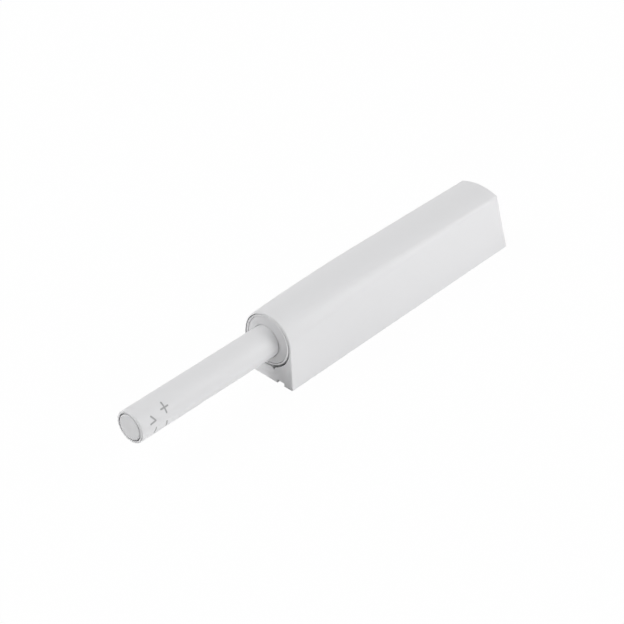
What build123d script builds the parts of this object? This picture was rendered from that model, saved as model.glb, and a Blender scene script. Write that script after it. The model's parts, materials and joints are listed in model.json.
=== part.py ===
"""Push to open catch: a sprung ejector cartridge in a straight screw-on adapter housing.

Millimetres, +Z up. The origin lies on the mounting plane, midway between the two screw
holes. +X runs along the ejector, the way it comes out. At rest the ejector is out.
"""

import os
from math import acos, atan2, cos, pi, radians, sin, sqrt

from build123d import *

os.makedirs("parts", exist_ok=True)

# ---------------------------------------------------------------- driving dimensions
# Adapter housing
housing_length = 76.5
base_width = 14.6
axis_height = 9.4  # bore axis above the mounting plane
front_lip = 0.2  # front arch round the flange's seat, at its sides
# Each outline behind the front arch: flanks drawn in from the base to a corner, a shallow
# crown over the top from corner to corner, and the corners rounded into ridges.
rear_top_width = 10.1
rear_top_height = 14.35
rear_crown_rise = 1.15
rear_ridge_radius = 0.6
waist_x = 8.0  # straight up to here, then it narrows to the front
waist_top_width = 11.4
waist_top_height = 14.1
waist_crown_rise = 1.9
waist_ridge_radius = 2.9
neck_x = 24.0
neck_top_width = 11.64
neck_top_height = 13.6
neck_crown_rise = 2.4
neck_ridge_radius = 4.3
rear_lean = 3.45  # how far the rear face leans forward at the ridge
rear_wall = 1.3  # behind the bore, at its top
end_wall = 2.6  # across each end of the underside pocket
front_edge_radius = 0.3
rear_edge_radius = 0.5
web_windows = (-21.0, 0.0, 21.0)  # centres of the openings between pocket and bore
window_length = 11.0
window_width = 7.0
release_notch = (3.15, 5.05, 0.75)  # from y, to y, height, in the front wall's foot
seat_clearance = 0.3  # round the flange, on radius
seat_drop = 0.2  # the seat's centre below the bore axis
key_width = 1.3
key_depth = 0.7
key_angle = 19.0  # from straight down, towards +Y

# Mounting plate, a T rail that the housing's lugs hook under
screw_spacing = 32.0
screw_hole_radius = 2.0
screw_head_radius = 3.7
plate_length = 62.0
plate_thickness = 3.2
plate_top_width = 10.0
plate_foot_width = 8.0
rail_height = 1.3  # underside of the T above the mounting plane
plate_corner_radius = 0.4
lug_stations = (-24.0, 0.0, 24.0)
lug_length = 3.6
lock_travel = 4.3  # the housing slides this far to lock
tongue_length = 9.0
tongue_width = 3.0
tongue_slot = 0.8
tongue_bump = 0.45
bump_back = 1.4  # the bump's peak behind the plate's front end

# Cartridge barrel
barrel_radius = 5.0
barrel_wall = 0.9
flange_overhang = 0.8  # beyond the barrel, on radius
flange_thickness = 1.7
rim_width = 0.4
crush_rib_width = 0.8
bush_flange = 1.0
bush_recess = 0.1  # its edge behind the barrel's rim
bush_nose = 0.45  # its dome stands this far out of the flange, round the ejector
bush_length = 4.4
stop_ring_thickness = 1.0
guide_key_width = 1.2
guide_key_height = 0.4

# Ejector
bush_wall = 0.43  # the bush's sleeve, between barrel and ejector
ejector_draft = 0.1  # degrees, narrowing to the tip
ejector_wall = 0.8
extension = 38.2  # tip beyond the flange, at rest
stroke = 38.0
adjustment = 4.0
adjustment_turn = 180.0  # degrees for the whole adjustment
tip_edge_radius = 0.3
helix_back = 12.0  # the helical grooves' start behind the shank's end
tip_wall = 0.57  # round the bumper's recess
bumper_gap = 0.25
bumper_depth = 1.0
bumper_proud = 0.1
bumper_chamfer = 0.15
peg_radius = 1.0
peg_length = 3.0

# Heart cam
follower_radius = 0.5
cam_length = 9.6
cam_turn = 60.0  # degrees between the lane in and the lane out
track_depth = 0.95
trigger_travel = 1.6  # full press is this far beyond the latched place
collar_length = 3.1

# Spring
wire_radius = 0.25
spring_mean_radius = 2.65
coils = 9
wire_sides = 6  # the wire's section is a polygon of the wire's size

# Clearances, on radius or per side
running = 0.05
loose = 0.1
seat = 0.02

# ---------------------------------------------------------------- derived places
front_x = housing_length / 2
rear_x = -housing_length / 2
lean_slope = rear_lean / rear_top_height
bore_radius = barrel_radius + loose
bore_end_x = rear_x + lean_slope * (axis_height + bore_radius) + rear_wall
barrel_rear_x = bore_end_x + loose
inner_radius = barrel_radius - barrel_wall
ejector_radius = inner_radius - bush_wall - loose  # at its foot
flange_radius = barrel_radius + flange_overhang
guide_key_radius = inner_radius + guide_key_height
flange_rear_x = front_x - flange_thickness
bump_x = plate_length / 2 - bump_back
seat_radius = flange_radius + seat_clearance
front_arch_radius = seat_radius + front_lip
rim_inner_radius = flange_radius - rim_width

bush_front_x = front_x - bush_recess
bush_flange_x = bush_front_x - bush_flange
bush_rear_x = bush_front_x - bush_length
bush_hole_radius = ejector_radius + loose
stop_ring_x = bush_rear_x - stop_ring_thickness
collar_radius = inner_radius - loose
collar_front_x = stop_ring_x - seat
collar_rear_x = collar_front_x - collar_length
friction_washer = 0.3
cam_front_x = collar_rear_x - friction_washer - running
cam_rear_x = cam_front_x - cam_length
cam_radius = inner_radius - 0.15
cam_bore_radius = 2.3
boss_radius = cam_bore_radius - running
floor_radius = cam_radius - track_depth
boss_end_x = cam_rear_x - running
retainer_thickness = 1.4
retainer_rear_x = boss_end_x - retainer_thickness
tail_radius = floor_radius - 0.1
spring_washer = 0.3
spring_front_x = retainer_rear_x - spring_washer
clip_thickness = 0.4
clip_rear_x = spring_front_x - clip_thickness
stem_radius = 1.8
stem_end_x = clip_rear_x - 0.7
follower_tip_radius = floor_radius + 0.2

track_end = cam_length - 1.1
follower_s = track_end - follower_radius - 0.25
follower_x = cam_rear_x - stroke + follower_s

cap_flange = 0.6
cap_wall = 2.9
cap_floor_x = barrel_rear_x + cap_flange
spring_rear_x = cap_floor_x + spring_washer

tip_x = front_x + extension
ring_x = collar_front_x + 0.3
ring_length = 1.6
ring_radius = ejector_radius - running
sleeve_rear_x = ring_x + ring_length + 0.1
sleeve_bore_radius = ejector_radius - ejector_wall
shank_radius = sleeve_bore_radius - loose
shank_end_x = tip_x - 7.0
flat_height = 2.1  # half the width across the shank's keyed flats
flats_end_x = ring_x + ring_length + adjustment + 0.5
lead = adjustment * 360.0 / adjustment_turn
helix_x = shank_end_x - helix_back
groove_depth = 0.65
lug_radius = 0.4
groove_width = 2 * lug_radius + 0.3
lug_tip_radius = shank_radius - groove_depth + 0.2
recess_floor_x = tip_x - bumper_depth
recess_radius = ejector_radius - tip_wall
bumper_radius = recess_radius - bumper_gap


def save(piece, name):
    """Label a finished piece and write its STEP file."""
    piece.part.label = name
    export_step(piece.part, f"parts/{name}.step")


def ring_of(x0, x1, outer, inner):
    """A plain ring about the bore axis, from x0 to x1."""
    with BuildPart() as ring:
        with BuildSketch(Plane.YZ.offset(x0)):
            with Locations((0, axis_height)):
                Circle(outer)
                Circle(inner, mode=Mode.SUBTRACT)
        extrude(amount=x1 - x0)
    return ring


# ---------------------------------------------------------------- housing
half_base = base_width / 2
foot_reach = (half_base**2 + axis_height**2) ** 0.5
touch = atan2(-axis_height, half_base) + acos(front_arch_radius / foot_reach)


def outline(x, half_top, height, rise, radius):
    """Closed outline across the housing, and the angle at which its ridge meets its crown."""
    flank = sqrt((half_base - half_top) ** 2 + height**2)
    out_y, out_z = height / flank, (half_base - half_top) / flank
    crown = (half_top**2 + rise**2) / (2 * rise)
    crown_z = height + rise - crown
    # the ridge's centre lies its radius inside the flank, and inside the crown
    start_y, start_z = half_base - radius * out_y, -radius * out_z - crown_z
    slant = start_z * out_y - start_y * out_z
    climb = -slant + sqrt(slant**2 + (crown - radius) ** 2 - start_y**2 - start_z**2)
    ridge_y, ridge_z = start_y - climb * out_z, start_z + climb * out_y + crown_z
    low, high = atan2(out_z, out_y), atan2(ridge_z - crown_z, ridge_y)
    ridge = [
        (ridge_y + radius * cos(angle), ridge_z + radius * sin(angle))
        for angle in (low, (low + high) / 2, high)
    ]
    return closed_outline(x, ridge, (0, height + rise)), high


def closed_outline(x, ridge, top):
    """Face from the base, up one flank, over ridge, crown and ridge, and down again."""
    low, middle, high = ridge
    far_low, far_middle, far_high = [(-y, z) for y, z in ridge]
    with BuildSketch(Plane.YZ.offset(x)) as section:
        with BuildLine():
            Polyline(far_low, (-half_base, 0), (half_base, 0), low)
            ThreePointArc(low, middle, high)
            ThreePointArc(high, top, far_high)
            ThreePointArc(far_high, far_middle, far_low)
        make_face()
    return section.sketch


rear_outline, shoulder = outline(
    rear_x, rear_top_width / 2, rear_top_height, rear_crown_rise, rear_ridge_radius
)
waist_outline, _ = outline(
    waist_x, waist_top_width / 2, waist_top_height, waist_crown_rise, waist_ridge_radius
)
neck_outline, _ = outline(
    neck_x, neck_top_width / 2, neck_top_height, neck_crown_rise, neck_ridge_radius
)
arch = [
    (front_arch_radius * cos(angle), axis_height + front_arch_radius * sin(angle))
    for angle in (touch, (touch + shoulder) / 2, shoulder)
]
front_outline = closed_outline(front_x, arch, (0, axis_height + front_arch_radius))

with BuildPart() as housing:
    loft([rear_outline, waist_outline], ruled=True)
    loft([waist_outline, neck_outline, front_outline])
    # the rear face leans forward
    with BuildSketch(Plane.XZ):
        with BuildLine():
            Polyline(
                (rear_x, 0),
                (rear_x + lean_slope * 20, 20),
                (rear_x - 2, 20),
                (rear_x - 2, 0),
                close=True,
            )
        make_face()
    extrude(amount=base_width, both=True, mode=Mode.SUBTRACT)
    rear_face = housing.faces().sort_by(Axis.X)[0]
    fillet(rear_face.edges().filter_by(lambda e: e.center().Z > 0.2), rear_edge_radius)
    front_face = housing.faces().sort_by(Axis.X)[-1]
    fillet(front_face.edges().filter_by(lambda e: e.center().Z > 0.2), front_edge_radius)
    # bore and flange seat
    with BuildSketch(Plane.YZ.offset(bore_end_x)):
        with Locations((0, axis_height)):
            Circle(bore_radius)
    extrude(amount=front_x - bore_end_x, mode=Mode.SUBTRACT)
    with BuildSketch(Plane.YZ.offset(flange_rear_x)):
        with Locations((0, axis_height - seat_drop)):
            Circle(seat_radius)
    extrude(amount=flange_thickness, mode=Mode.SUBTRACT)
    # key notch below the flange seat
    with BuildSketch(Plane.YZ.offset(flange_rear_x)):
        with Locations(Location((0, axis_height - seat_drop, 0), (0, 0, key_angle))):
            Polygon(
                (-key_width / 2, 0.3 - seat_radius),
                (0, -seat_radius - key_depth),
                (key_width / 2, 0.3 - seat_radius),
                align=None,
            )
    extrude(amount=flange_thickness, mode=Mode.SUBTRACT)
    # underside pocket
    with Locations((0, 0, (plate_thickness + loose) / 2)):
        Box(
            housing_length - 2 * end_wall,
            plate_top_width + 2 * loose,
            plate_thickness + loose,
            mode=Mode.SUBTRACT,
        )
    # windows between pocket and bore
    with Locations(*[(x, 0, axis_height / 2) for x in web_windows]):
        Box(window_length, window_width, axis_height / 2, mode=Mode.SUBTRACT)
    # recess for the tongue's bump
    with Locations((bump_x, 0, plate_thickness + loose)):
        Box(2.4, tongue_width + 0.6, 2 * tongue_bump + 0.3, mode=Mode.SUBTRACT)
    # lugs that hook under the plate
    lug_width = (plate_top_width - plate_foot_width) / 2 - loose
    for side in (-1, 1):
        with Locations(
            *[
                (
                    x,
                    side * (plate_foot_width / 2 + loose + (lug_width + loose + 0.3) / 2),
                    (rail_height + loose) / 2 - 0.05,
                )
                for x in lug_stations
            ]
        ):
            Box(lug_length, lug_width + loose + 0.3, rail_height - loose - 0.1)
    # release notch in the front wall's foot
    notch_from, notch_to, notch_height = release_notch
    with Locations((front_x - end_wall / 2, (notch_from + notch_to) / 2, notch_height / 2)):
        Box(end_wall, notch_to - notch_from, notch_height, mode=Mode.SUBTRACT)
save(housing, "adapter_housing")

# ---------------------------------------------------------------- mounting plate
with BuildPart() as plate:
    with BuildSketch():
        Rectangle(plate_length, plate_foot_width)
    extrude(amount=plate_thickness)
    with BuildSketch(Plane.XY.offset(rail_height)):
        Rectangle(plate_length, plate_top_width)
    extrude(amount=plate_thickness - rail_height)
    fillet(plate.edges().filter_by(Axis.Z), plate_corner_radius)
    # gaps in the ledges that let the lugs drop past
    for side in (-1, 1):
        with Locations(
            *[
                (x - lock_travel, side * (plate_foot_width / 2 + 1.0), plate_thickness / 2)
                for x in lug_stations
            ]
        ):
            Box(lug_length + 0.6, 2.0, plate_thickness + 1, mode=Mode.SUBTRACT)
    with Locations((-screw_spacing / 2, 0, plate_thickness), (screw_spacing / 2, 0, plate_thickness)):
        CounterSinkHole(screw_hole_radius, screw_head_radius)
    # spring tongue at the front, freed by two slots
    for side in (-1, 1):
        with Locations(
            (
                plate_length / 2 - tongue_length / 2,
                side * (tongue_width / 2 + tongue_slot / 2),
                plate_thickness / 2,
            )
        ):
            Box(tongue_length, tongue_slot, plate_thickness + 1, mode=Mode.SUBTRACT)
    with Locations((plate_length / 2 - tongue_length / 2 + 0.4, 0, 0)):
        Box(tongue_length - 0.8, tongue_width, 2 * (rail_height + 0.3), mode=Mode.SUBTRACT)
    with BuildSketch(Plane.XZ):
        with BuildLine():
            Polyline(
                (bump_x - 0.9, plate_thickness - 0.1),
                (bump_x - 0.9, plate_thickness + tongue_bump),
                (bump_x - 0.3, plate_thickness + tongue_bump),
                (bump_x + 0.9, plate_thickness - 0.1),
                close=True,
            )
        make_face()
    extrude(amount=tongue_width / 2, both=True)
save(plate, "mounting_plate")

# ---------------------------------------------------------------- barrel
with BuildPart() as barrel:
    with BuildSketch(Plane.XZ):
        with BuildLine():
            Polyline(
                (cap_floor_x, axis_height + inner_radius),
                (cap_floor_x, axis_height + barrel_radius),
                (flange_rear_x, axis_height + barrel_radius),
                (flange_rear_x, axis_height + flange_radius),
                (front_x, axis_height + flange_radius),
                (front_x, axis_height + rim_inner_radius),
                (bush_flange_x, axis_height + rim_inner_radius),
                (bush_flange_x, axis_height + inner_radius),
                close=True,
            )
        make_face()
    revolve(axis=Axis((0, 0, axis_height), (1, 0, 0)))
    # key under the flange
    with BuildSketch(Plane.YZ.offset(flange_rear_x)):
        with Locations(Location((0, axis_height, 0), (0, 0, key_angle))):
            Polygon(
                (-key_width / 4, 0.2 - flange_radius),
                (0, -seat_radius - key_depth / 2),
                (key_width / 4, 0.2 - flange_radius),
                align=None,
            )
    extrude(amount=flange_thickness - 0.8)
    # crush ribs that hold the barrel in the bore
    for angle in (90, 210, 330):
        with Locations(
            Location((0, 0, axis_height), (angle, 0, 0))
            * Location((flange_rear_x - 9.0, 0, barrel_radius - 0.1 + (loose - seat) / 2))
        ):
            Box(12.0, crush_rib_width, 0.2 + loose - seat)
    # guide grooves for the ram's keys
    with BuildSketch(Plane.YZ.offset(collar_rear_x - stroke - 0.4)):
        with Locations((0, axis_height)):
            Rectangle(2 * (guide_key_radius + loose), guide_key_width + 2 * loose)
            Circle(inner_radius - 0.3, mode=Mode.SUBTRACT)
    extrude(amount=bush_flange_x - (collar_rear_x - stroke - 0.4), mode=Mode.SUBTRACT)
    # holes for the follower pins, with seats for their heads
    for angle in (0, 180):
        place = Location((follower_x, 0, axis_height), (angle, 0, 0))
        with Locations(place * Location((0, 0, barrel_radius - barrel_wall / 2))):
            Cylinder(follower_radius + seat, 2 * barrel_wall, mode=Mode.SUBTRACT)
        with Locations(place * Location((0, 0, barrel_radius))):
            Cylinder(0.95, 0.8, mode=Mode.SUBTRACT)
save(barrel, "barrel")

# ---------------------------------------------------------------- front bush and stop
bush_nose_x = front_x + bush_nose
bush_hole_end = (bush_rear_x, axis_height + bush_hole_radius)
bush_edge_radius = rim_inner_radius - running
bush_mid = (
    bush_nose_x - (bush_nose + bush_recess) * 0.27,
    axis_height + (bush_hole_radius + bush_edge_radius) / 2,
)
with BuildPart() as bush:
    with BuildSketch(Plane.XZ):
        with BuildLine():
            Polyline(
                bush_hole_end,
                (bush_rear_x, axis_height + inner_radius - seat),
                (bush_flange_x, axis_height + inner_radius - seat),
                (bush_flange_x, axis_height + bush_edge_radius),
                (bush_front_x, axis_height + bush_edge_radius),
            )
            ThreePointArc(
                (bush_front_x, axis_height + bush_edge_radius),
                bush_mid,
                (bush_nose_x, axis_height + bush_hole_radius),
            )
            Line((bush_nose_x, axis_height + bush_hole_radius), bush_hole_end)
        make_face()
    revolve(axis=Axis((0, 0, axis_height), (1, 0, 0)))
save(bush, "guide_bush")
save(
    ring_of(stop_ring_x, bush_rear_x, inner_radius - seat, bush_hole_radius), "end_stop_ring"
)

# ---------------------------------------------------------------- rear cap and pins
with BuildPart() as cap:
    with BuildSketch(Plane.YZ.offset(barrel_rear_x)):
        with Locations((0, axis_height)):
            Circle(barrel_radius)
    extrude(amount=cap_flange)
    with BuildSketch(Plane.YZ.offset(cap_floor_x)):
        with Locations((0, axis_height)):
            Circle(inner_radius - seat)
            Circle(spring_mean_radius + wire_radius + 0.3, mode=Mode.SUBTRACT)
    extrude(amount=cap_wall)
    with BuildSketch(Plane.YZ.offset(barrel_rear_x)):
        with Locations((0, axis_height)):
            Circle(1.2)
    extrude(amount=cap_flange, mode=Mode.SUBTRACT)
save(cap, "rear_cap")

for number, angle in ((1, 0), (2, 180)):
    place = Location((follower_x, 0, axis_height), (angle, 0, 0))
    head_floor = barrel_radius - 0.4
    with BuildPart() as pin:
        with Locations(place * Location((0, 0, (follower_tip_radius + barrel_radius) / 2))):
            Cylinder(follower_radius, barrel_radius - 0.05 - follower_tip_radius)
        with Locations(place * Location((0, 0, head_floor + 0.175))):
            Cylinder(0.85, 0.35)
    save(pin, f"follower_pin_{number}")

# ---------------------------------------------------------------- ram
with BuildPart() as ram:
    with BuildSketch(Plane.XZ):
        with BuildLine():
            Polyline(
                (stem_end_x, axis_height),
                (stem_end_x, axis_height + stem_radius),
                (clip_rear_x, axis_height + stem_radius),
                (clip_rear_x, axis_height + stem_radius - 0.35),
                (clip_rear_x + clip_thickness, axis_height + stem_radius - 0.35),
                (clip_rear_x + clip_thickness, axis_height + stem_radius),
                (boss_end_x, axis_height + stem_radius),
                (boss_end_x, axis_height + boss_radius),
                (collar_rear_x, axis_height + boss_radius),
                (collar_rear_x, axis_height + collar_radius),
                (collar_front_x, axis_height + collar_radius),
                (collar_front_x, axis_height + shank_radius),
                (shank_end_x, axis_height + shank_radius),
                (shank_end_x, axis_height),
                close=True,
            )
        make_face()
    revolve(axis=Axis((0, 0, axis_height), (1, 0, 0)))
    with BuildSketch(Plane.YZ.offset(collar_rear_x)):
        with Locations((0, axis_height)):
            Rectangle(2 * guide_key_radius, guide_key_width)
            Circle(collar_radius - 0.5, mode=Mode.SUBTRACT)
    extrude(amount=collar_length)
    for side in (-1, 1):
        with Locations(
            (
                (collar_front_x + flats_end_x) / 2,
                0,
                axis_height + side * (flat_height + shank_radius) / 2,
            )
        ):
            Box(
                flats_end_x - collar_front_x,
                2 * shank_radius,
                shank_radius - flat_height,
                mode=Mode.SUBTRACT,
            )
    with BuildSketch(Plane.YZ.offset(shank_end_x)):
        with Locations((0, axis_height)):
            Circle(1.3)
    extrude(amount=-(shank_end_x - flats_end_x), mode=Mode.SUBTRACT)

with BuildPart() as groove:
    with BuildLine() as helix:
        Helix(lead, adjustment + 0.6, shank_radius)
    with BuildSketch(Plane(origin=helix.line @ 0, x_dir=(1, 0, 0), z_dir=helix.line % 0)):
        Rectangle(2 * groove_depth, groove_width)
    sweep(is_frenet=True)

with BuildPart() as threaded_ram:
    add(ram.part)
    for turn in (0, 180):
        with Locations(
            Location((helix_x - 0.3, 0, axis_height), (turn, 0, 0)) * Location((0, 0, 0), (0, 90, 0))
        ):
            add(groove.part, mode=Mode.SUBTRACT)
save(threaded_ram, "ram")

# ---------------------------------------------------------------- heart cam
follower_latched_s = follower_s - trigger_travel
lane_half_angle = 12.5
fork_s = 3.4
island_half = 1.0


def spoke(angle, radius):
    """Point in the YZ plane at an angle in degrees from +Z, turning about +X."""
    return (-radius * sin(radians(angle)), axis_height + radius * cos(radians(angle)))


def tangent_plane(angle, radius):
    """Plane on the cam, its x along +X from the cam's rear and its z outward."""
    y, z = spoke(angle, radius)
    outward = (0, -sin(radians(angle)), cos(radians(angle)))
    return Plane(origin=(cam_rear_x, y, z), x_dir=(1, 0, 0), z_dir=outward)


with BuildPart() as cam:
    with BuildSketch(Plane.YZ.offset(cam_rear_x)):
        with Locations((0, axis_height)):
            Circle(cam_radius)
    extrude(amount=cam_length)
    for turn in (0, 180):
        for low, high, start, end in (
            (-lane_half_angle, lane_half_angle, 0, fork_s),
            (-cam_turn - lane_half_angle, lane_half_angle, fork_s, track_end),
        ):
            with BuildSketch(Plane.YZ.offset(cam_rear_x + start)):
                with BuildLine():
                    Polyline(
                        (0, axis_height),
                        spoke(turn + low, 3 * cam_radius),
                        spoke(turn + high, 3 * cam_radius),
                        close=True,
                    )
                make_face()
            extrude(amount=end - start, mode=Mode.SUBTRACT)
        # way back from the lane out to the mouth
        with BuildSketch(tangent_plane(turn - cam_turn / 2, 0)):
            with BuildLine():
                Polyline((0.9, -1.3), (fork_s + 0.2, 2.3), (fork_s + 0.2, -1.3), close=True)
            make_face()
        extrude(amount=2 * cam_radius, mode=Mode.SUBTRACT)
        # heart island, with the latching notch in its front
        with BuildSketch(tangent_plane(turn - cam_turn / 2, 0)):
            with BuildLine():
                Polyline(
                    (fork_s + 0.4, -0.6 * island_half),
                    (fork_s + 1.4, -island_half),
                    (follower_latched_s + 0.3, -island_half),
                    (follower_latched_s - 2**0.5 * follower_radius, 0),
                    (follower_latched_s - 0.05, island_half),
                    (fork_s + 1.2, island_half),
                    close=True,
                )
            make_face()
        extrude(amount=cam_radius - 0.25)
    # floor of the track, and the bore
    with BuildSketch(Plane.YZ.offset(cam_rear_x)):
        with Locations((0, axis_height)):
            Circle(floor_radius)
    extrude(amount=cam_length)
    with BuildSketch(Plane.YZ.offset(cam_rear_x)):
        with Locations((0, axis_height)):
            Circle(cam_bore_radius)
    extrude(amount=cam_length, mode=Mode.SUBTRACT)
save(cam, "cam_sleeve")

save(
    ring_of(collar_rear_x - friction_washer, collar_rear_x, cam_radius - 0.35, cam_bore_radius),
    "friction_washer",
)
save(ring_of(retainer_rear_x, boss_end_x, tail_radius, stem_radius + seat), "cam_retainer")
save(ring_of(spring_front_x, retainer_rear_x, tail_radius, stem_radius + seat), "front_washer")
save(
    ring_of(cap_floor_x, spring_rear_x, spring_mean_radius + wire_radius + 0.2, 1.4), "rear_washer"
)

with BuildPart() as clip:
    with BuildSketch(Plane.YZ.offset(clip_rear_x + seat)):
        with Locations((0, axis_height)):
            Circle(spring_mean_radius - wire_radius - 0.1)
            Circle(stem_radius - 0.35 + seat, mode=Mode.SUBTRACT)
        with Locations((0, axis_height + stem_radius)):
            Rectangle(1.8, 2 * stem_radius, mode=Mode.SUBTRACT)
    extrude(amount=clip_thickness - seat)
save(clip, "retaining_clip")

# ---------------------------------------------------------------- spring
spring_length = spring_front_x - spring_rear_x
with BuildPart() as spring:
    with BuildLine() as coil:
        Helix(
            (spring_length + 0.4) / coils,
            spring_length + 0.4,
            spring_mean_radius,
            center=(spring_rear_x - 0.2, 0, axis_height),
            direction=(1, 0, 0),
        )
    with BuildSketch(Plane(origin=coil.line @ 0, z_dir=coil.line % 0)):
        RegularPolygon(wire_radius, wire_sides)
    sweep(is_frenet=True)
    # ends ground flat
    for x, side in ((spring_rear_x, -1), (spring_front_x, 1)):
        with Locations((x + side, 0, axis_height)):
            Box(2, 3 * spring_mean_radius, 3 * spring_mean_radius, mode=Mode.SUBTRACT)
save(spring, "ejector_spring")

# ---------------------------------------------------------------- adjusting tip
with BuildPart() as detent:
    with BuildSketch(Plane.YZ.offset(ring_x)):
        with Locations((0, axis_height)):
            Circle(ring_radius)
    extrude(amount=ring_length)
    with BuildSketch(Plane.YZ.offset(ring_x)) as keyed_hole:
        with Locations((0, axis_height)):
            Circle(shank_radius + running)
            Rectangle(3 * shank_radius, 2 * (flat_height + running), mode=Mode.INTERSECT)
    extrude(amount=ring_length, mode=Mode.SUBTRACT)
    # click notches in its front face
    for angle in range(0, 180, 45):
        with Locations(Location((ring_x + ring_length, 0, axis_height), (angle, 0, 0))):
            Box(0.3, 3 * ring_radius, 0.5, mode=Mode.SUBTRACT)
save(detent, "detent_ring")

helix_start = 0.3 / lead * 360 - 180
with BuildPart() as sleeve:
    with BuildSketch(Plane.YZ.offset(sleeve_rear_x)):
        with Locations((0, axis_height)):
            Circle(ejector_radius)
    extrude(amount=tip_x - sleeve_rear_x, taper=ejector_draft)
    fillet(sleeve.edges().sort_by(Axis.X)[-1], tip_edge_radius)
    for start, end, radius in (
        (sleeve_rear_x, shank_end_x + 0.5, sleeve_bore_radius),
        (recess_floor_x, tip_x, recess_radius),
        (recess_floor_x - peg_length - 2 * loose, recess_floor_x, peg_radius),
    ):
        with BuildSketch(Plane.YZ.offset(start)):
            with Locations((0, axis_height)):
                Circle(radius)
        extrude(amount=end - start, mode=Mode.SUBTRACT)
    # lugs that ride in the ram's helical grooves
    for turn in (0, 180):
        with Locations(
            Location((helix_x, 0, axis_height), (helix_start + turn, 0, 0))
            * Location((0, 0, (lug_tip_radius + sleeve_bore_radius + 0.2) / 2))
        ):
            Cylinder(lug_radius, sleeve_bore_radius + 0.2 - lug_tip_radius)
save(sleeve, "ejector_tip")

with BuildPart() as bumper:
    with BuildSketch(Plane.YZ.offset(recess_floor_x)):
        with Locations((0, axis_height)):
            Circle(bumper_radius)
    extrude(amount=bumper_depth + bumper_proud)
    chamfer(bumper.edges().sort_by(Axis.X)[-1], bumper_chamfer)
    with BuildSketch(Plane.YZ.offset(recess_floor_x - peg_length)):
        with Locations((0, axis_height)):
            Circle(peg_radius - seat)
    extrude(amount=peg_length)
save(bumper, "bumper")
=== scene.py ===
"""Push to open catch: plastic and steel finishes, adjuster marks and a coiled spring.

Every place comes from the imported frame. Lengths are in metres unless a name ends in _mm.
"""

from __future__ import annotations

import json
import logging
from dataclasses import dataclass
from enum import Enum
from math import cos, radians, sin
from typing import Any, Protocol

import bpy
from mathutils import Matrix, Vector

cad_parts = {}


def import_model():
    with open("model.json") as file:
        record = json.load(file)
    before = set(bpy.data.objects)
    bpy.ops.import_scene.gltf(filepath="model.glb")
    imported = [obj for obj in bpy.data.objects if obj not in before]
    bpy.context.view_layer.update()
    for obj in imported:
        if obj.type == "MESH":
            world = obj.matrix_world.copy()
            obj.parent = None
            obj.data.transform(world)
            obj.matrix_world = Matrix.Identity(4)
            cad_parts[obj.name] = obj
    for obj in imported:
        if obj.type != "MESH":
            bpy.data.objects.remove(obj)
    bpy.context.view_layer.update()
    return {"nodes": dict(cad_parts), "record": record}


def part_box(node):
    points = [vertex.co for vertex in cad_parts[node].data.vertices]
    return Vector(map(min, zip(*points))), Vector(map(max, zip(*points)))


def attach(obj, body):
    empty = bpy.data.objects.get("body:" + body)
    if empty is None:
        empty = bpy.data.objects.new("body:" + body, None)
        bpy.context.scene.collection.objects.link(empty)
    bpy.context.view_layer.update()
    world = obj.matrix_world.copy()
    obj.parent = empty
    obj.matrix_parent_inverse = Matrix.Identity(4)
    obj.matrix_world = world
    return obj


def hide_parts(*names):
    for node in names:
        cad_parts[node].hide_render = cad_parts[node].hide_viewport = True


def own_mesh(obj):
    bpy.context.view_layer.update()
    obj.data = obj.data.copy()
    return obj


LOG = logging.getLogger("push_to_open_catch")
MM = 0.001

Colour = tuple[float, float, float]
Corner = tuple[Vector, Vector]


# ---------------------------------------------------------------- shader expressions
class Signal:
    """A shader value that takes part in Python expressions.

    Args:
        board: The node board that new Math nodes are put on.
        socket: The output socket that carries the value.
    """

    def __init__(self, board: NodeBoard, socket: bpy.types.NodeSocket) -> None:
        """Keep the board and the socket."""
        self.board = board
        self.socket = socket

    def __add__(self, other: Term) -> Signal:
        """Sum."""
        return self.board.math("ADD", self, other)

    __radd__ = __add__

    def __sub__(self, other: Term) -> Signal:
        """Difference."""
        return self.board.math("SUBTRACT", self, other)

    def __rsub__(self, other: Term) -> Signal:
        """Difference, with the plain number first."""
        return self.board.math("SUBTRACT", other, self)

    def __mul__(self, other: Term) -> Signal:
        """Product."""
        return self.board.math("MULTIPLY", self, other)

    __rmul__ = __mul__

    def __truediv__(self, other: Term) -> Signal:
        """Quotient."""
        return self.board.math("DIVIDE", self, other)

    def __gt__(self, other: Term) -> Signal:
        """1 where this value is the larger, else 0."""
        return self.board.math("GREATER_THAN", self, other)

    def clamped(self) -> Signal:
        """This value, held between 0 and 1."""
        return self.board.math("MINIMUM", self.board.math("MAXIMUM", self, 0.0), 1.0)


Term = Signal | float


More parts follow.
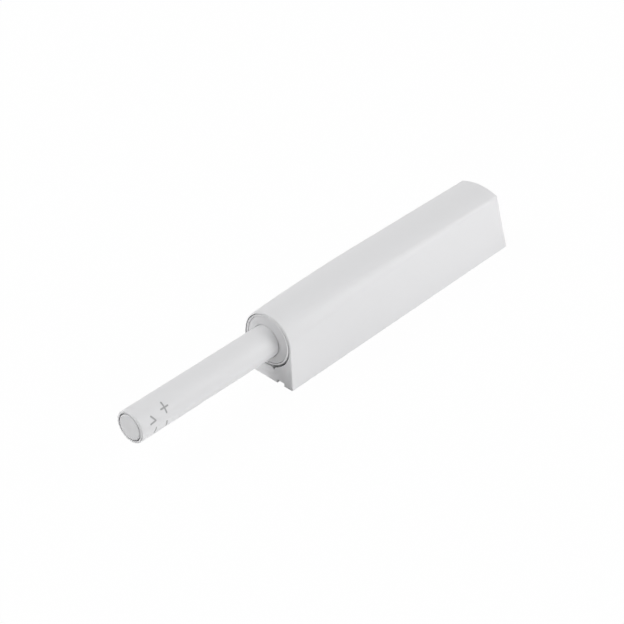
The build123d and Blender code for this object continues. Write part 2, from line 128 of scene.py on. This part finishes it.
class NodeBoard:
    """Puts nodes into one node tree.

    Args:
        tree: The tree of a material, a world or a geometry modifier.
    """

    def __init__(self, tree: bpy.types.NodeTree) -> None:
        """Start on an empty tree."""
        self.tree = tree
        tree.nodes.clear()

    def node(
        self,
        kind: str,
        settings: dict[str, Any] | None = None,
        sockets: dict[str | int, Any] | None = None,
    ) -> bpy.types.Node:
        """Add a node.

        Args:
            kind: The node's type.
            settings: Properties, set before any socket.
            sockets: Values or links, by socket name or number.

        Returns:
            The new node.
        """
        node = self.tree.nodes.new(kind)
        for name, value in (settings or {}).items():
            setattr(node, name, value)
        for key, value in (sockets or {}).items():
            self.feed(node.inputs[key], value)
        return node

    def feed(self, target: bpy.types.NodeSocket, value: Any) -> None:
        """Link a signal or a socket to an input, or set its value."""
        if isinstance(value, Signal):
            value = value.socket
        if isinstance(value, bpy.types.NodeSocket):
            self.tree.links.new(value, target)
        else:
            target.default_value = value

    def math(self, operation: str, *terms: Term) -> Signal:
        """Add one Math node and return its result."""
        node = self.node("ShaderNodeMath", {"operation": operation}, dict(enumerate(terms)))
        return Signal(self, node.outputs[0])

    def ease(self, value: Signal, low: float, high: float) -> Signal:
        """Smooth step of a value: 0 at low and 1 at high."""
        node = self.node(
            "ShaderNodeMapRange",
            {"interpolation_type": "SMOOTHSTEP"},
            {"Value": value, "From Min": low, "From Max": high},
        )
        return Signal(self, node.outputs["Result"])

    def noise(self, place: bpy.types.NodeSocket, scale: float, detail: float = 2.0) -> Signal:
        """Noise about 0.5, with features of about 1/scale metres."""
        node = self.node(
            "ShaderNodeTexNoise", None, {"Vector": place, "Scale": scale, "Detail": detail}
        )
        return Signal(self, node.outputs[0])

    def blend(self, factor: Term, first: Any, second: Any) -> bpy.types.NodeSocket:
        """Colour between first, at factor 0, and second, at factor 1."""
        node = self.node("ShaderNodeMix", {"data_type": "RGBA"}, {0: factor, 6: first, 7: second})
        return node.outputs[2]


def rgba(colour: Colour, gain: float = 1.0) -> tuple[float, float, float, float]:
    """A colour with an alpha of 1, made lighter or darker by gain."""
    return (colour[0] * gain, colour[1] * gain, colour[2] * gain, 1.0)


# ---------------------------------------------------------------- finishes
class Finish(Protocol):
    """Anything that can make a material."""

    name: str

    def make(self) -> bpy.types.Material:
        """Make the material."""
        ...


class Surface:
    """A material under construction, with its board and Object coordinates.

    Args:
        name: The material's name.
    """

    def __init__(self, name: str) -> None:
        """Start an empty material."""
        self.material = bpy.data.materials.new(name)
        self.material.use_nodes = True
        self.board = NodeBoard(self.material.node_tree)
        self.place = self.board.node("ShaderNodeTexCoord").outputs["Object"]

    def axes(self) -> tuple[Signal, Signal, Signal]:
        """The X, Y and Z of the point being shaded, in metres."""
        split = self.board.node("ShaderNodeSeparateXYZ", None, {0: self.place})
        x, y, z = (Signal(self.board, output) for output in split.outputs)
        return x, y, z

    def bump(self, height: Signal, depth: float) -> Any:
        """Normal that a height of 0 to 1 over the given depth would give."""
        sockets = {"Height": height, "Distance": depth, "Strength": 1.0}
        return self.board.node("ShaderNodeBump", None, sockets).outputs[0]

    def close(self, **sockets: Any) -> bpy.types.Material:
        """Feed the main shader and join it to the output.

        Args:
            **sockets: Values or links, with underscores for the spaces in a socket's name.

        Returns:
            The finished material.
        """
        named = {key.replace("_", " "): value for key, value in sockets.items()}
        shader = self.board.node("ShaderNodeBsdfPrincipled", None, named)
        self.board.node("ShaderNodeOutputMaterial", None, {"Surface": shader.outputs[0]})
        return self.material


@dataclass(frozen=True)
class MouldedPlastic:
    """Acetal as it leaves a finely eroded mould: faint cloudiness, a soft satin grain."""

    name: str
    colour: Colour
    roughness: float = 0.42
    cloud_scale: float = 140.0
    cloud_gain: float = 0.985
    grain_scale: float = 5200.0
    grain_depth: float = 0.004 * MM
    cloud_roughness: float = 0.04
    grain_roughness: float = 0.03
    specular: float = 0.4

    def make(self) -> bpy.types.Material:
        """Make the material."""
        surface = Surface(self.name)
        colour, roughness, height = self.layers(surface)
        return surface.close(
            Base_Color=colour,
            Roughness=roughness,
            Specular_IOR_Level=self.specular,
            Normal=surface.bump(height, self.grain_depth),
        )

    def layers(self, surface: Surface) -> tuple[Any, Signal, Signal]:
        """Colour, roughness and height of the moulded face.

        Args:
            surface: The material under construction.

        Returns:
            The colour socket, the roughness and the height.
        """
        board = surface.board
        cloud = board.noise(surface.place, self.cloud_scale, 3.0)
        grain = board.noise(surface.place, self.grain_scale)
        colour = board.blend(cloud, rgba(self.colour, self.cloud_gain), rgba(self.colour))
        base = self.roughness - self.grain_roughness
        roughness = base + cloud * self.cloud_roughness + grain * self.grain_roughness
        return colour, roughness, grain


class MarkShape(Enum):
    """Adjuster marks, as strokes between points (millimetres behind the tip, degrees)."""

    MORE = (((6.65, 62.0), (6.65, 26.0)), ((5.8, 44.0), (7.5, 44.0)))
    LESS = (((6.35, -2.5), (6.35, -24.5)),)
    TURN = (((3.1, 42.0), (3.75, 23.0)), ((3.75, 23.0), (2.45, 20.0)), ((3.6, -2.0), (3.2, -20.0)))


@dataclass(frozen=True)
class MarkedPlastic(MouldedPlastic):
    """The same plastic with the adjuster marks sunk into the tube near its tip; the marks carry
    painted shade as well as a bump.
    """

    tip_x: float = 0.0
    axis_z: float = 0.0
    radius: float = 3.55 * MM
    stroke: float = 0.34 * MM
    softness: float = 0.1 * MM
    # How dark the painted shade in the engraved marks is: a gain on the base colour.
    mark_painted_shade_gain: float = 0.5
    sunk_roughness: float = 0.1
    sunk_height: float = 12.0
    skin: float = 0.1 * MM
    marks: tuple[MarkShape, ...] = tuple(MarkShape)

    def layers(self, surface: Surface) -> tuple[Any, Signal, Signal]:
        """Colour, roughness and height, with the marks cut in and darkened by painted shade.

        Args:
            surface: The material under construction.

        Returns:
            The colour socket, the roughness and the height.
        """
        board = surface.board
        colour, roughness, height = super().layers(surface)
        x, y, z = surface.axes()
        behind = self.tip_x - x
        up = z - self.axis_z
        round_by = board.math("ARCTAN2", up, y) * self.radius
        outside = board.math("SQRT", up * up + y * y) > self.radius - self.skin
        nearest: Signal | None = None
        for mark in self.marks:
            for start, end in mark.value:
                reach = self.stroke_distance(board, behind, round_by, start, end)
                nearest = reach if nearest is None else board.math("MINIMUM", nearest, reach)
        edge = self.stroke / 2
        sunk = (1.0 - board.ease(nearest, edge - self.softness, edge + self.softness)) * outside
        # Painted shade: the marks' base colour is darkened to stand in for the shade inside the
        # engraving; the bump below gives the real recess.
        mark_painted_shade_colour = board.blend(sunk, colour, rgba(self.colour, self.mark_painted_shade_gain))
        return mark_painted_shade_colour, roughness + sunk * self.sunk_roughness, height - sunk * self.sunk_height

    def stroke_distance(
        self,
        board: NodeBoard,
        behind: Signal,
        round_by: Signal,
        start: tuple[float, float],
        end: tuple[float, float],
    ) -> Signal:
        """Distance from the shaded point to one stroke, over the tube's surface.

        Args:
            board: Where the Math nodes go.
            behind: How far the point is behind the tip.
            round_by: How far the point is round the tube.
            start: The stroke's first end.
            end: The stroke's other end.

        Returns:
            The distance in metres.
        """
        ax, bx = start[0] * MM, end[0] * MM
        ay, by = radians(start[1]) * self.radius, radians(end[1]) * self.radius
        run, rise = bx - ax, by - ay
        square = run * run + rise * rise
        from_x, from_y = behind - ax, round_by - ay
        along = ((from_x * run + from_y * rise) / square).clamped()
        off_x, off_y = from_x - along * run, from_y - along * rise
        return board.math("SQRT", off_x * off_x + off_y * off_y)


@dataclass(frozen=True)
class SoftElastomer:
    """Soft elastomer: matt, faintly mottled, with a fine dimpled skin."""

    name: str
    colour: Colour
    roughness: float = 0.6
    mottle_scale: float = 420.0
    mottle_gains: tuple[float, float] = (0.94, 1.04)
    mottle_roughness: float = 0.08
    dimple_scale: float = 2600.0
    dimple_depth: float = 0.012 * MM
    specular: float = 0.3

    def make(self) -> bpy.types.Material:
        """Make the material."""
        surface = Surface(self.name)
        board = surface.board
        mottle = board.noise(surface.place, self.mottle_scale, 3.0)
        dimples = board.node(
            "ShaderNodeTexVoronoi",
            {"feature": "SMOOTH_F1"},
            {"Vector": surface.place, "Scale": self.dimple_scale},
        )
        height = Signal(board, dimples.outputs["Distance"])
        dark, light = (rgba(self.colour, gain) for gain in self.mottle_gains)
        return surface.close(
            Base_Color=board.blend(mottle, dark, light),
            Roughness=self.roughness + mottle * self.mottle_roughness,
            Specular_IOR_Level=self.specular,
            Normal=surface.bump(height, self.dimple_depth),
        )


@dataclass(frozen=True)
class DrawnSteel:
    """Bright drawn or blanked steel, with fine lines along one axis."""

    name: str
    colour: Colour
    roughness: float = 0.26
    line_scale: float = 9000.0
    line_depth: float = 0.003 * MM
    line_stretch: float = 0.08
    line_roughness: float = 0.1
    stain_scale: float = 300.0
    stain_gain: float = 0.92

    def make(self) -> bpy.types.Material:
        """Make the material."""
        surface = Surface(self.name)
        board = surface.board
        x, y, z = surface.axes()
        stretched = board.node("ShaderNodeCombineXYZ", None, {0: x * self.line_stretch, 1: y, 2: z})
        lines = board.noise(stretched.outputs[0], self.line_scale, 1.0)
        stain = board.noise(surface.place, self.stain_scale)
        return surface.close(
            Base_Color=board.blend(stain, rgba(self.colour, self.stain_gain), rgba(self.colour)),
            Metallic=1.0,
            Roughness=self.roughness + lines * self.line_roughness,
            Normal=surface.bump(lines, self.line_depth),
        )


# ---------------------------------------------------------------- sub-assemblies
def middle(corners: Corner) -> Vector:
    """Centre of a box given by its two corners."""
    return (Vector(corners[0]) + Vector(corners[1])) / 2


@dataclass
class CatchBody:
    """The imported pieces: which finish each one wears.

    Args:
        nodes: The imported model's objects by name.
        slots: Material slot of each node, as the record gives it.
        finishes: The finish of each material slot.
        special: Finishes of single nodes, which come before their slot's.
    """

    nodes: dict[str, bpy.types.Object]
    slots: dict[str, str]
    finishes: dict[str, Finish]
    special: dict[str, Finish]

    def dress(self) -> None:
        """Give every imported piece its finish."""
        made: dict[str, bpy.types.Material] = {}
        for name, piece in self.nodes.items():
            finish = self.special.get(name, self.finishes[self.slots[name]])
            if finish.name not in made:
                made[finish.name] = finish.make()
            for holder in piece.material_slots:
                holder.material = made[finish.name]
            LOG.info("%s wears %s", name, finish.name)


@dataclass
class CoilSpring:
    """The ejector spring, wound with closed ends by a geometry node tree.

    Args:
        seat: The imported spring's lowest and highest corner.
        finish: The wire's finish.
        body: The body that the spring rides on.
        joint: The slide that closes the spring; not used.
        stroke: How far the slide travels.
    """

    seat: Corner
    finish: Finish
    body: str
    joint: str
    stroke: float
    wire_radius: float = 0.25 * MM
    turns: float = 19.0
    closed_turns: float = 1.25
    steps_per_turn: int = 40
    wire_sides: int = 12

    def tree(self, material: bpy.types.Material) -> bpy.types.NodeTree:
        """Build the node tree that winds the wire.

        Args:
            material: What the wire wears.

        Returns:
            The tree, with named inputs for the spring's sizes.
        """
        tree = bpy.data.node_groups.new("wound_spring", "GeometryNodeTree")
        face = tree.interface
        for name, value in self.sizes().items():
            socket = face.new_socket(name, in_out="INPUT", socket_type="NodeSocketFloat")
            socket.default_value = value
        face.new_socket("Geometry", in_out="OUTPUT", socket_type="NodeSocketGeometry")
        board = NodeBoard(tree)
        given = board.node("NodeGroupInput").outputs
        turns, closed, pitch, wire, radius, start, axis = (
            Signal(board, given[name]) for name in self.sizes()
        )
        spiral = board.node(
            "GeometryNodeCurveSpiral",
            None,
            {
                "Resolution": self.steps_per_turn,
                "Rotations": turns,
                "Start Radius": radius,
                "End Radius": radius,
                "Height": 1.0,
            },
        )
        place = board.node("GeometryNodeInputPosition").outputs[0]
        split = board.node("ShaderNodeSeparateXYZ", None, {0: place})
        x, y, z = (Signal(board, output) for output in split.outputs)
        wound = z * turns
        open_turns = turns - closed * 2.0
        first = board.math("MINIMUM", wound, closed)
        rest = board.math("MAXIMUM", wound - closed, 0.0)
        opened = board.math("MINIMUM", rest, open_turns)
        last = rest - opened
        along = start + wire + (first + last) * wire * 2.0 + opened * pitch
        turned = board.node("ShaderNodeCombineXYZ", None, {0: along, 1: y, 2: x + axis})
        laid = board.node(
            "GeometryNodeSetPosition",
            None,
            {"Geometry": spiral.outputs[0], "Position": turned.outputs[0]},
        )
        section = board.node(
            "GeometryNodeCurvePrimitiveCircle",
            None,
            {"Resolution": self.wire_sides, "Radius": wire},
        )
        swept = board.node(
            "GeometryNodeCurveToMesh",
            None,
            {"Curve": laid.outputs[0], "Profile Curve": section.outputs[0], "Fill Caps": True},
        )
        real = board.node("GeometryNodeRealizeInstances", None, {0: swept.outputs[0]})
        worn = board.node(
            "GeometryNodeSetMaterial", None, {"Geometry": real.outputs[0], "Material": material}
        )
        board.node("NodeGroupOutput", None, {0: worn.outputs[0]})
        return tree

    def sizes(self) -> dict[str, float]:
        """Sizes that the tree takes, by name."""
        low, high = self.seat
        outer = (high[1] - low[1]) / 2
        length = high[0] - low[0] - 2 * self.wire_radius
        closed_length = 2 * self.closed_turns * 2 * self.wire_radius
        return {
            "Turns": self.turns,
            "Closed turns": self.closed_turns,
            "Pitch": (length - closed_length) / (self.turns - 2 * self.closed_turns),
            "Wire radius": self.wire_radius,
            "Coil radius": outer - self.wire_radius,
            "Start": low[0],
            "Axis height": middle(self.seat)[2],
        }

    def build(self) -> bpy.types.Object:
        """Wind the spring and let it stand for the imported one.

        Returns:
            The finished piece, a plain mesh.
        """
        tree = self.tree(self.finish.make())
        carrier = bpy.data.objects.new("wound_spring_carrier", bpy.data.meshes.new("carrier"))
        bpy.context.scene.collection.objects.link(carrier)
        modifier = carrier.modifiers.new("winding", "NODES")
        modifier.node_group = tree
        for item in tree.interface.items_tree:
            if item.in_out == "INPUT":
                modifier[item.identifier] = self.sizes()[item.name]
        graph = bpy.context.evaluated_depsgraph_get()
        mesh = bpy.data.meshes.new_from_object(carrier.evaluated_get(graph), depsgraph=graph)
        bpy.data.objects.remove(carrier)
        mesh.name = "wound_spring"
        mesh.polygons.foreach_set("use_smooth", [True] * len(mesh.polygons))
        spring = bpy.data.objects.new("wound_spring", mesh)
        bpy.context.scene.collection.objects.link(spring)
        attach(spring, self.body)
        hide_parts("ejector_spring")
        low, high = self.seat
        keep = 1.0 - self.stroke / (high[0] - low[0])
        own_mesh(spring)
        LOG.info("wound_spring has %d faces", len(mesh.polygons))
        return spring


# ---------------------------------------------------------------- studio
@dataclass
class SoftBox:
    """A square area lamp that faces the part.

    Args:
        name: The lamp's name.
        azimuth: Its direction in degrees, from +X towards +Y.
        elevation: Its height in degrees above the floor.
        power: Its power in watts.
        distance: How far it stands from the target.
        size: The length of its side.
    """

    name: str
    azimuth: float
    elevation: float
    power: float
    distance: float = 0.9
    size: float = 0.6

    def hang(self, target: Vector) -> None:
        """Hang the lamp round a target point."""
        lamp = bpy.data.lights.new(self.name, "AREA")
        lamp.shape = "SQUARE"
        lamp.size = self.size
        lamp.energy = self.power
        a, e = radians(self.azimuth), radians(self.elevation)
        away = Vector((cos(a) * cos(e), sin(a) * cos(e), sin(e)))
        holder = bpy.data.objects.new(self.name, lamp)
        holder.matrix_world = Matrix.Translation(target + away * self.distance) @ (
            away.to_track_quat("Z", "Y").to_matrix().to_4x4()
        )
        bpy.context.scene.collection.objects.link(holder)


@dataclass
class Studio:
    """White sweep, soft lamps and the camera.

    Args:
        target: The point that the lamps face.
    """

    target: Vector
    sky_level: float = 0.1
    floor_half: float = 1.6
    floor_colour: Colour = (0.9, 0.9, 0.9)
    floor_glow: float = 0.98
    floor_drop: float = 0.02 * MM
    lens_mm: float = 84.55
    sensor_width_mm: float = 36.0
    nearest_view: float = 0.01
    camera_azimuth: float = 129.745
    camera_elevation: float = 35.956
    camera_roll: float = -2.76
    camera_distance: float = 305.52 * MM
    camera_slide: tuple[float, float] = (9.517 * MM, 13.327 * MM)
    camera_target_x: float = 38.25 * MM
    lamps: tuple[SoftBox, ...] = (
        SoftBox("rear_low_softbox", 135.0, 15.0, 4.5),
        SoftBox("rear_high_softbox", 135.0, 45.0, 1.6),
        SoftBox("side_low_softbox", 90.0, 15.0, 1.4),
        SoftBox("far_high_softbox", 315.0, 45.0, 5.3),
        SoftBox("far_low_softbox", 225.0, 15.0, 1.25),
        SoftBox("front_softbox", 0.0, 45.0, 0.5),
    )

    def sky(self) -> None:
        """Even light all round, seen by the camera as pure white."""
        world = bpy.data.worlds.new("white_tent")
        bpy.context.scene.world = world
        world.use_nodes = True
        board = NodeBoard(world.node_tree)
        seen = board.node("ShaderNodeLightPath").outputs["Is Camera Ray"]
        strength = self.sky_level + Signal(board, seen) * (1.0 - self.sky_level)
        sockets = {"Color": rgba((1, 1, 1)), "Strength": strength}
        glow = board.node("ShaderNodeBackground", None, sockets)
        board.node("ShaderNodeOutputWorld", None, {"Surface": glow.outputs[0]})

    def floor(self) -> None:
        """A pale floor that keeps a faint shadow of the part."""
        half = self.floor_half
        mesh = bpy.data.meshes.new("floor")
        corners = [(-half, -half, 0), (half, -half, 0), (half, half, 0), (-half, half, 0)]
        mesh.from_pydata(corners, [], [(0, 1, 2, 3)])
        surface = bpy.data.materials.new("floor_paper")
        surface.use_nodes = True
        board = NodeBoard(surface.node_tree)
        paper = board.node("ShaderNodeBsdfDiffuse", None, {"Color": rgba(self.floor_colour)})
        glow = board.node("ShaderNodeEmission", None, {"Color": rgba((1, 1, 1)), "Strength": 1.0})
        path = board.node("ShaderNodeLightPath")
        seen = board.math(
            "MAXIMUM",
            Signal(board, path.outputs["Is Camera Ray"]),
            Signal(board, path.outputs["Is Glossy Ray"]),
        )
        mixed = board.node(
            "ShaderNodeMixShader",
            None,
            {0: seen * self.floor_glow, 1: paper.outputs[0], 2: glow.outputs[0]},
        )
        board.node("ShaderNodeOutputMaterial", None, {"Surface": mixed.outputs[0]})
        mesh.materials.append(surface)
        ground = bpy.data.objects.new("floor", mesh)
        ground.location.z = -self.floor_drop
        bpy.context.scene.collection.objects.link(ground)

    def camera(self) -> None:
        """Place the camera by its direction, distance and roll."""
        a, e = radians(self.camera_azimuth), radians(self.camera_elevation)
        back = Vector((sin(a) * cos(e), -cos(a) * cos(e), sin(e)))
        right = Vector((cos(a), sin(a), 0.0))
        up = back.cross(right)
        c, s = cos(radians(self.camera_roll)), sin(radians(self.camera_roll))
        turned_right, turned_up = right * c - up * s, right * s + up * c
        data = bpy.data.cameras.new("camera")
        data.lens = self.lens_mm
        data.sensor_width = self.sensor_width_mm
        data.clip_start = self.nearest_view
        holder = bpy.data.objects.new("camera", data)
        place = back * self.camera_distance + Vector((self.camera_target_x, 0.0, 0.0))
        place += turned_right * self.camera_slide[0] + turned_up * self.camera_slide[1]
        turn = Matrix((turned_right, turned_up, back)).transposed().to_4x4()
        holder.matrix_world = Matrix.Translation(place) @ turn
        bpy.context.scene.collection.objects.link(holder)
        bpy.context.scene.camera = holder

    def build(self) -> None:
        """Set up the whole studio."""
        self.sky()
        self.floor()
        for lamp in self.lamps:
            lamp.hang(self.target)
        self.camera()
        bpy.context.scene.view_settings.view_transform = "Standard"


# ---------------------------------------------------------------- main
WHITE: Colour = (0.80, 0.80, 0.81)


def finishes() -> dict[str, Finish]:
    """The finish of each of the record's material slots."""
    return {
        "white_plastic": MouldedPlastic("white_acetal", WHITE),
        "white_plastic_matt": MouldedPlastic("white_plate_plastic", WHITE, roughness=0.5),
        "pale_grey_plastic": MouldedPlastic("pale_grey_acetal", (0.68, 0.68, 0.69)),
        "grey_plastic": MouldedPlastic("grey_acetal", (0.45, 0.46, 0.48), roughness=0.38),
        "stop_rubber": SoftElastomer("stop_elastomer", (0.12, 0.12, 0.13)),
        "soft_bumper": SoftElastomer("bumper_elastomer", (0.77, 0.77, 0.78)),
        "steel": DrawnSteel("bright_steel", (0.62, 0.63, 0.65)),
        "spring_steel": DrawnSteel("spring_wire", (0.55, 0.56, 0.58), roughness=0.2),
    }


def main() -> None:
    """Load the frame, dress it, and set up the studio."""
    logging.basicConfig(level=logging.INFO, format="%(name)s: %(message)s")
    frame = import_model()
    slots = {part["node"]: part["material_slot"] for part in frame["record"]["subparts"]}
    by_slot = finishes()
    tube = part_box("ejector_tip")
    marked = MarkedPlastic("white_acetal_marked", WHITE, tip_x=tube[1][0], axis_z=middle(tube)[2])
    CatchBody(frame["nodes"], slots, by_slot, {"ejector_tip": marked}).dress()
    slide = next(j for j in frame["record"]["behaviour"]["joints"] if j["name"] == "eject_slide")
    stroke = slide["range_m"][1]
    wire = by_slot["spring_steel"]
    CoilSpring(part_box("ejector_spring"), wire, "housing", slide["name"], stroke).build()
    Studio(middle(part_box("adapter_housing"))).build()


if __name__ == "__main__":
    main()
